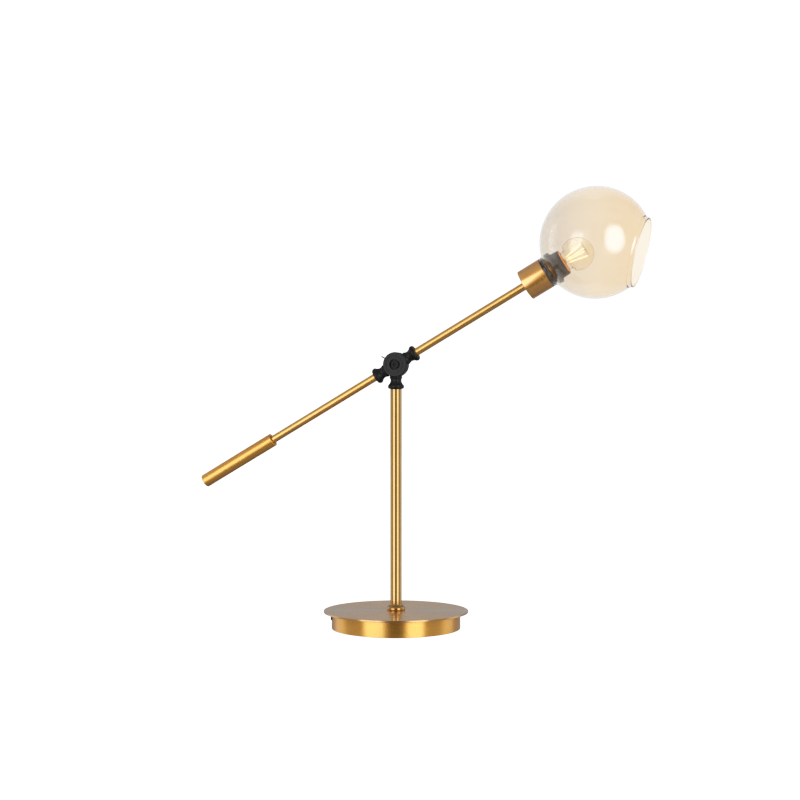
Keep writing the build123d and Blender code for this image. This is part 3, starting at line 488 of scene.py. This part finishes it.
# ------------------------------------------------------------------ CAD nodes that keep their shape
finishes = {
    black: ["knuckle_stem", "arm_hub"],
    bolt_black: ["pivot_bolt"],
    dark_steel: ["pivot_lock_pin", "pivot_spring_washer", "pivot_nut", "stem_grub_screw", "hub_grub_screws",
                 "counterweight_grub_screw"],
    steel: ["cover_screws", "base_nipple", "nipple_washer", "nipple_nut", "swivel_stop_ring", "head_nipple", "head_locknut",
            "swivel_post"],
    cover_steel: ["base_cover"],
    iron: ["base_ballast"],
    rubber: ["cord_grommet", "neck_gasket"],
    nylon: ["swivel_washer", "pivot_washer"],
    ceramic: ["terminal_block", "socket_insert"],
    inner_brass: ["column_foot_plug", "column_top_bush", "terminal_screws", "socket_terminals", "socket_contact"],
    sheath: ["lead_column", "lead_knuckle", "lead_arm"],
    copper: ["socket_shell"],
    holder_black: ["shade_ring"],
    cap_metal: ["bulb_cap", "bulb_contact"],
    black_glass: ["bulb_cap_insulator"],
    clear: ["bulb_stem"],
    wire: ["bulb_support_wires"],
}
for material, names in finishes.items():
    for name in names:
        obj = NODES[name]
        obj.data.materials.clear()
        obj.data.materials.append(material)

# ------------------------------------------------------------------ base
lathe("plate", rounded([(24.4, 5.25), (25.45, 5.25), (25.6, 5.4), (25.6, 99.2), (25.6, 100.0, 0.7), (23.2, 100.0, 0.7),
                        (23.2, 99.0), (23.2, 5.25)], 6),
      UP, BASE, plate_brass, ["base_plate"], seg=360)

drum = lathe("drum", rounded([(23.2, 5.25), (23.2, 88.4), (23.2, 89.0, 0.3), (1.0, 89.0, 0.5), (1.0, 87.6, 0.4),
                              (21.8, 87.6, 0.8), (21.8, 5.25)], 5),
             UP, BASE, drum_brass, ["base_drum"], seg=360)
inlet_dir = Vector((math.cos(math.radians(203)), math.sin(math.radians(203)), 0))
cut(drum, [rod_mesh("tool", 2.9, 80, 95, axes(Vector((0, 0, 16.5)), inlet_dir, Vector((0, 0, 1))))])

collar = [(25.6, 8.05), (25.6, 12.0)]
collar += smooth([(25.6, 12.0), (26.5, 12.75), (28.0, 13.0), (29.6, 12.7), (31.0, 11.8), (32.3, 10.3), (33.5, 9.15), (34.8, 8.6)], 6)[1:]
collar += [(34.8, 8.2), (34.65, 8.05)]
lathe("collar", collar, UP, BASE, column_brass, ["foot_collar"], seg=128)
lathe("column", rounded([(25.6, 6.5), (25.6, 8.0), (330.65, 8.0), (330.9, 7.75), (330.9, 6.5)]),
      UP, BASE, column_brass, ["column_tube"], seg=128)

pad = lathe("felt_disc", rounded([(0.0, 0.0), (0.0, 84.0, 0.45), (1.2, 84.0, 0.2), (1.2, 0.0)], 4),
            UP, BASE, felt, ["felt_pad"], seg=240, wave=lambda a, r, w: -0.12 * (1 + math.sin(61 * w) * math.sin(17 * w)) if r > 80 else 0)
cut(pad, [rod_mesh("tool", 4.2, -2, 3, axes(Vector((60 * math.cos(w), 60 * math.sin(w), 0)), Vector((0, 0, 1)), Vector((1, 0, 0))))
          for w in (math.radians(30), math.radians(150), math.radians(270))])

# ------------------------------------------------------------------ arm
lathe("arm_rod_front", [(24.1, 4.0), (24.1, 5.5), (209.95, 5.5), (209.95, 4.0)], ALONG, ARM, arm_brass,
      ["arm_tube_front"], seg=96)
lathe("arm_rod_rear", [(24.1, 4.0), (24.1, 5.5), (233.5, 5.5), (233.5, 4.0)], BACK, ARM, arm_brass,
      ["arm_tube_rear"], seg=96)
weight = lathe("weight", rounded([(233.8, 0.0), (233.8, 5.55), (210.4, 5.55), (210.4, 6.4), (209.5, 6.4, 0.1), (209.5, 9.5, 0.6),
                                  (330.0, 9.5, 1.3), (330.0, 0.0)], 7),
               BACK, ARM, weight_brass, ["counterweight"], seg=128)
cut(weight, [rod_mesh("tool", 2.0, 3, 11, axes(PIVOT - U * 222.5, Vector((0, 1, 0)), U))])

# ------------------------------------------------------------------ head
lathe("cup", rounded([(211.2, 4.05), (210.0, 4.05), (210.0, 20.0), (210.0, 21.25, 0.9), (243.0, 21.25, 0.25), (243.0, 20.25, 0.25),
                      (211.2, 20.25, 0.8)], 6),
      ALONG, ARM, cup_brass, ["shade_cup"], seg=160)
thread = []
for k in range(3):
    a = 240.3 + 3.0 * k
    thread += [(a, 18.95), (a + 0.45, 19.4), (a + 1.35, 19.4), (a + 1.8, 18.95)]
lathe("holder", rounded([(214.5, 4.05), (214.5, 17.5, 0.4), (216.0, 19.0, 0.4)] + thread
                        + [(249.2, 18.95), (249.7, 19.4, 0.1), (258.6, 19.4, 0.4), (259.4, 18.3, 0.3), (270.2, 17.6, 0.3),
                           (271.0, 16.9, 0.2), (271.0, 15.7, 0.2), (268.0, 15.7, 0.2), (268.0, 14.6, 0.2), (217.5, 14.6),
                           (217.5, 4.05)], 3),
      ALONG, ARM, holder_black, ["lampholder_body"], seg=160)


def pencil(radius, circle_a, circle_b, rows, seg):
    """Rings on a sphere, from a circle about one axis to a circle about another.

    A circle is (unit axis, distance of its plane from the centre). Every ring is a true circle on the sphere,
    and its points run along circles that cross all rings at right angles, so the quads stay even and smooth.
    """
    (na, da), (nb, db) = circle_a, circle_b
    cosg = na.dot(nb)
    # the two planes meet in a line outside the sphere; the planes through it that touch the sphere give the limit points
    det = 1 - cosg * cosg
    foot = na * ((da - db * cosg) / det) + nb * ((db - da * cosg) / det)
    h = foot.length
    n = foot / h
    side = na.cross(nb).normalized()
    t = n.cross(side).normalized()
    x = radius * radius / h
    y = radius * math.sqrt(max(0.0, 1 - (radius / h) ** 2))
    p1, p2 = n * x + t * y, n * x - t * y
    if p1.dot(na) < p2.dot(na):
        p1, p2 = p2, p1
    # stereographic projection from p2; p1 goes to w1
    k = p2.normalized()
    e1 = side
    e2 = k.cross(e1)

    def flat(p):
        q = p / radius
        d = 1 - q.dot(k)
        return complex(q.dot(e1) / d, q.dot(e2) / d)

    def ball(w):
        m = abs(w) ** 2
        return (e1 * (2 * w.real) + e2 * (2 * w.imag) + k * (m - 1)) / (m + 1) * radius

    w1 = flat(p1)
    plane = (na.cross(nb)).normalized()

    def on_circle(axis, dist):
        rho = math.sqrt(radius * radius - dist * dist)
        u = axis.cross(plane).normalized()
        return axis * dist + u * rho

    ra = abs(flat(on_circle(na, da)) - w1)
    rb = abs(flat(on_circle(nb, db)) - w1)
    rings = []
    for i in range(rows + 1):
        r = math.exp(math.log(ra) + (math.log(rb) - math.log(ra)) * i / rows)
        rings.append([ball(w1 + complex(r * math.cos(2 * math.pi * j / seg), r * math.sin(2 * math.pi * j / seg)))
                      for j in range(seg)])
    return rings


def globe(name, seg=200):
    od = math.radians(ARM_DEG - 44.5)
    flat_dir = Vector((math.cos(od), 0, math.sin(od)))
    open_dir = Matrix.Rotation(math.radians(-2.7), 3, U) @ flat_dir
    ro, ri = GLOBE_R, GLOBE_R - GLASS_T
    # neck: cylinder, concave turn of radius 4, then the sphere; lip: concave turn, round edge, bore
    tr = 4.0
    tc = (-math.sqrt((ro + tr) ** 2 - (21.2 + tr) ** 2), 21.2 + tr)
    k = ro / (ro + tr)
    tq = (tc[0] * k, tc[1] * k)
    neck_end = 243.85 - GLOBE_S
    outer = pencil(ro, (-U, -tq[0]), (open_dir, math.sqrt(ro * ro - 49.6 ** 2)), 84, seg)
    # inner end rings sit a little off the corners, which are rounded
    hole_a = -math.sqrt(ri * ri - 20.6 ** 2)
    inner = pencil(ri, (-U, -hole_a), (open_dir, math.sqrt(ri * ri - 46.0 ** 2)), 84, seg)

    def split(ring, axis):
        """Unit directions across the axis for each point of a ring."""
        return [(p - axis * p.dot(axis)).normalized() for p in ring]

    def turned(profile, axis, d0, d1):
        """Rows about the axis; the points' directions move from d0 to d1 on the way."""
        rows = []
        for i, (a, r) in enumerate(profile):
            f = (i + 1) / (len(profile) + 1)
            rows.append([axis * a + d0[j].slerp(d1[j], f) * r for j in range(seg)])
        return rows

    lip = arc((56.26, 49.6), (61.4, 47.3), (62.62, 54.4), 9)[:-1]
    lip += arc((61.4, 47.3), (62.7, 46.0), (61.4, 46.0), 7) + arc((62.7, 46.0), (61.4, 44.7), (61.4, 46.0), 7)
    lip += [(60.2, 44.7), (59.2, 44.75), (58.3, 44.95), (57.5, 45.35)]
    lip_rows = turned(lip, open_dir, split(outer[-1], open_dir), split(inner[-1], open_dir))
    # from the inner hole back to the outer ring, over the neck's end
    neck = [(hole_a + 0.1, 20.3), (hole_a - 0.3, 20.0), (hole_a - 0.9, 19.82), (hole_a - 2.0, 19.8), (neck_end + 0.35, 19.8),
            (neck_end + 0.1, 19.9), (neck_end, 20.15), (neck_end, 20.85), (neck_end + 0.1, 21.1), (neck_end + 0.35, 21.2),
            (tc[0], 21.2)] + arc((tc[0], 21.2), tq, tc, 9)[:-1]
    neck_rows = turned(neck, U, split(inner[0], U), split(outer[0], U))
    rows = outer + lip_rows + inner[::-1] + neck_rows
    m = ALONG.inverted()
    centre = (PIVOT + U * GLOBE_S)
    verts = [m @ ((centre + p) * MM) for row in rows for p in row]
    faces = []
    for i in range(len(rows)):
        a, b = i * seg, ((i + 1) % len(rows)) * seg
        faces += [(a + j, a + (j + 1) % seg, b + (j + 1) % seg, b + j) for j in range(seg)]
    return put(name, verts, faces, ALONG, ARM, amber, ["shade_globe"], sharp=60)


globe("globe")

# ------------------------------------------------------------------ bulb
bs, br, bt = 291.5, 22.5, 0.8


def bulb_line(r, neck_r, waist):
    a0 = math.radians(55)
    end = (bs - r * math.cos(a0), r * math.sin(a0))
    line = smooth([(264.0, neck_r), (267.5, neck_r), (271.0, neck_r + 0.05), waist, (276.0 + 1.3, waist[1] + 1.4),
                   end], 6)[:-1]
    line += [(bs - r * math.cos(a0 + (math.pi - a0) * k / 40), r * math.sin(a0 + (math.pi - a0) * k / 40)) for k in range(41)]
    line[-1] = (bs + r, 0.0)
    return line


shell_out = bulb_line(br, 12.0, (275.0, 13.1))
shell_in = bulb_line(br - bt, 12.0 - bt, (275.2, 13.1 - bt))
lathe("bulb_envelope", shell_out + shell_in[::-1], ALONG, ARM, clear, ["bulb_glass"], seg=120, sharp=50)


def filaments(name):
    """Four slim coated strips with rounded ends on thin metal tabs."""
    verts, faces = [], []
    seg = 20
    for deg in (20.0, 110.0, 200.0, 290.0):
        w = math.radians(deg)
        out = Vector((math.cos(w), math.sin(w), 0))
        p0 = Vector((3.9 * out.x, 3.9 * out.y, 275.5))
        p1 = Vector((9.6 * out.x, 9.6 * out.y, 302.5))
        d = (p1 - p0).normalized()
        x = out - d * out.dot(d)
        x.normalize()
        y = d.cross(x)
        length = (p1 - p0).length
        r = 0.93
        ends = [(0.0, 0.25), (0.0, 0.40), (1.2, 0.40), (1.25, 0.55), (1.5, 0.82), (1.9, r)]
        stations = ends + [(length * 0.5, r)] + [(length - a, b) for a, b in reversed(ends)]
        start = len(verts)
        for a, b in stations:
            for k in range(seg):
                t = 2 * math.pi * k / seg
                verts.append((p0 + d * a + x * (b * math.cos(t)) + y * (b * math.sin(t))) * MM)
        for i in range(len(stations) - 1):
            for k in range(seg):
                a = start + i * seg
                faces.append((a + k, a + (k + 1) % seg, a + seg + (k + 1) % seg, a + seg + k))
        faces.append(tuple(start + k for k in range(seg)))
        last = start + (len(stations) - 1) * seg
        faces.append(tuple(last + k for k in range(seg)))
    return put(name, verts, faces, ALONG, ARM, glow, ["bulb_filaments"], sharp=50)


filaments("filament_strips")

# ------------------------------------------------------------------ studio
FRONT = Vector((math.sin(math.radians(16)), -math.cos(math.radians(16)), 0))     # from the lamp towards the camera
RIGHT = Vector((math.cos(math.radians(16)), math.sin(math.radians(16)), 0))


def studio():
    """Soft boxes painted in the world by direction; the camera and whatever it sees through glass get the white backdrop."""
    world = bpy.data.worlds.new("studio")
    scene.world = world
    world.use_nodes = True
    t = world.node_tree
    t.nodes.clear()
    n = Nodes(t)
    d = n.add("ShaderNodeTexCoord").outputs["Generated"]

    def dot(v):
        k = n.add("ShaderNodeVectorMath", operation="DOT_PRODUCT")
        n.link(d, k.inputs[0])
        k.inputs[1].default_value = v
        return k.outputs["Value"]

    az = n.math("DEGREES", n.math("ARCTAN2", dot(RIGHT), dot(FRONT)))
    el = n.math("DEGREES", n.math("ARCSINE", dot(Vector((0, 0, 1)))))

    def box(a0, a1, e0, e1, sa=4.0, se=4.0):
        """1 inside the azimuths a0..a1 and elevations e0..e1, 0 outside, with soft edges."""
        f = n.math("MULTIPLY", n.ramp(az, a0 - sa, a0 + sa), n.ramp(az, a1 - sa, a1 + sa, 1.0, 0.0))
        g = n.math("MULTIPLY", n.ramp(el, e0 - se, e0 + se), n.ramp(el, e1 - se, e1 + se, 1.0, 0.0))
        return n.math("MULTIPLY", f, g)

    def pool(a, e, ra, re):
        """A rounded box about azimuth a and elevation e, fading towards its edge."""
        x = n.math("ABSOLUTE", n.math("MULTIPLY", n.math("SUBTRACT", az, a), 1 / ra))
        y = n.math("ABSOLUTE", n.math("MULTIPLY", n.math("SUBTRACT", el, e), 1 / re))
        return n.ramp(n.math("ADD", n.math("POWER", x, 2.4), n.math("POWER", y, 2.4)), 0.1, 1.4, 1.0, 0.0)

    aside = n.math("ABSOLUTE", az)
    # room: dim below, middling ahead and above, dim behind
    room = n.ramp(el, -65, 0, 0.34, 0.58)
    room = n.math("MULTIPLY", room, n.math("SUBTRACT", 1.0, n.math("MULTIPLY", n.ramp(aside, 92, 150), 0.37)))
    room = n.math("MULTIPLY", room, n.ramp(el, 45, 80, 1.0, 0.6))
    # bright walls at the sides
    walls = n.math("ADD", n.math("MULTIPLY", n.ramp(az, 84, 100), n.ramp(az, 112, 130, 1.0, 0.0)),
                   n.math("MULTIPLY", n.ramp(az, -112, -96, 1.0, 0.0), n.ramp(az, -146, -128)))
    walls = n.math("MULTIPLY", walls, n.math("MULTIPLY", n.ramp(el, -45, -15), n.ramp(el, 22, 42, 1.0, 0.0)))
    room = n.math("ADD", room, n.math("MULTIPLY", walls, 0.62))
    # a soft panel high at the back
    high = n.math("MULTIPLY", n.ramp(aside, 140, 156), n.math("MULTIPLY", n.ramp(el, 26, 38), n.ramp(el, 56, 68, 1.0, 0.0)))
    room = n.math("ADD", room, n.math("MULTIPLY", high, 0.12))
    # the unlit gap round the camera
    dark = box(-15, 14, -42, 36, 3.5, 8)
    room = n.math("MULTIPLY", room, n.math("SUBTRACT", 1.0, n.math("MULTIPLY", dark, 0.66)))
    left = box(-58, -22, -24, 20, 4, 5)
    right = box(20, 50, -28, 28, 4, 5)

    path = n.add("ShaderNodeLightPath")
    mirror = n.math("MULTIPLY", path.outputs["Is Singular Ray"], path.outputs["Is Reflection Ray"])
    light = n.math("ADD", room, n.math("MULTIPLY", n.math("ADD", left, right), 2.9))
    # the glass mirrors rounder, softer boxes, and at its rim the white paper behind
    shine = n.math("ADD", n.math("MULTIPLY", pool(-45, -8, 17, 28), 3.4), n.math("MULTIPLY", pool(31, 2, 22, 27), 20.0))
    shine = n.math("ADD", shine, n.math("MULTIPLY", pool(-106, 2, 15, 24), 1.6))
    shine = n.math("ADD", shine, n.math("ADD", room, n.math("MULTIPLY", n.ramp(aside, 120, 155), 0.75)))
    light = n.math("ADD", n.math("MULTIPLY", light, n.math("SUBTRACT", 1.0, mirror)), n.math("MULTIPLY", shine, mirror))

    # what the camera sees straight through glass is the same backdrop, less bright
    ahead = n.math("MAXIMUM", n.math("LESS_THAN", path.outputs["Glossy Depth"], 0.5), n.ramp(aside, 105, 140, 0.0, 0.8))
    direct = n.math("MULTIPLY", path.outputs["Is Transmission Ray"], ahead)
    direct = n.math("MULTIPLY", direct, n.math("LESS_THAN", path.outputs["Diffuse Depth"], 0.5))
    seen = n.math("MAXIMUM", path.outputs["Is Camera Ray"], direct)
    backdrop = n.math("ADD", n.math("MULTIPLY", path.outputs["Is Camera Ray"], 0.06), 1.72)
    value = n.math("ADD", n.math("MULTIPLY", light, n.math("SUBTRACT", 1.0, seen)), n.math("MULTIPLY", seen, backdrop))
    bg = n.add("ShaderNodeBackground")
    bg.inputs["Color"].default_value = (1, 1, 1, 1)
    n.link(value, bg.inputs["Strength"])
    out = n.add("ShaderNodeOutputWorld")
    n.link(bg.outputs[0], out.inputs["Surface"])


studio()


def floor():
    m, n, p, out = new_material("pale_floor")
    c = local(n)
    g = n.noise(c, 60.0, 3.0, 0.5)
    n.link(n.mix(n.ramp(g, 0.3, 0.7), (0.44, 0.44, 0.44), (0.46, 0.46, 0.46)), p.inputs["Base Color"])
    p.inputs["Roughness"].default_value = 0.9
    p.inputs["Specular IOR Level"].default_value = 0.1
    p.inputs["Emission Color"].default_value = (1, 1, 1, 1)
    # as bright as the backdrop, to the camera and straight through glass, so no horizon shows
    path = n.add("ShaderNodeLightPath")
    direct = n.math("MULTIPLY", path.outputs["Is Transmission Ray"], n.math("LESS_THAN", path.outputs["Glossy Depth"], 0.5))
    lift = n.math("MAXIMUM", n.math("MULTIPLY", path.outputs["Is Camera Ray"], 0.55), n.math("MULTIPLY", direct, 0.33))
    n.link(n.math("ADD", lift, 1.15), p.inputs["Emission Strength"])
    bm = bmesh.new()
    bmesh.ops.create_grid(bm, x_segments=8, y_segments=8, size=6.0)
    mesh = bpy.data.meshes.new("floor")
    bm.to_mesh(mesh)
    bm.free()
    obj = bpy.data.objects.new("floor", mesh)
    scene.collection.objects.link(obj)
    obj.location = (0, 0, -0.0003)
    obj.data.materials.append(m)
    obj.visible_glossy = False
    obj.visible_diffuse = False


floor()

cam_data = bpy.data.cameras.new("camera")
cam_data.sensor_width = 36.0
cam_data.sensor_fit = "HORIZONTAL"
cam_data.lens = 65.57
cam = bpy.data.objects.new("camera", cam_data)
scene.collection.objects.link(cam)
cam.location = Vector((0.5615, -1.9352, 0.3153)) - RIGHT * 0.0008 + Vector((0, 0, 0.0007))
cam.rotation_euler = (math.radians(90), 0, math.radians(16))
scene.camera = cam

scene.view_settings.view_transform = "Standard"
scene.view_settings.look = "None"
scene.view_settings.exposure = 0.0
scene.view_settings.gamma = 1.0

# a camera's tone curve: straight up to 0.3, then a soft shoulder that reaches white at 1.7
KNEE, WHITE = 0.3, 1.7
scene.view_settings.use_curve_mapping = True
tone = scene.view_settings.curve_mapping
tone.white_level = (WHITE, WHITE, WHITE)
tone.extend = "HORIZONTAL"
curve = tone.curves[3]
curve.points[0].location = (0.0, 0.0)
curve.points[1].location = (1.0, 1.0)
curve.points.new(KNEE / WHITE, KNEE)
for k in range(1, 12):
    t = k / 12
    x = KNEE * (1 - t) ** 2 + 2 * t * (1 - t) + WHITE * t * t
    y = KNEE * (1 - t) ** 2 + 2 * t * (1 - t) + t * t
    curve.points.new(x / WHITE, y)
curve.points[0].handle_type = "VECTOR"
curve.points[1].handle_type = "VECTOR"
tone.update()
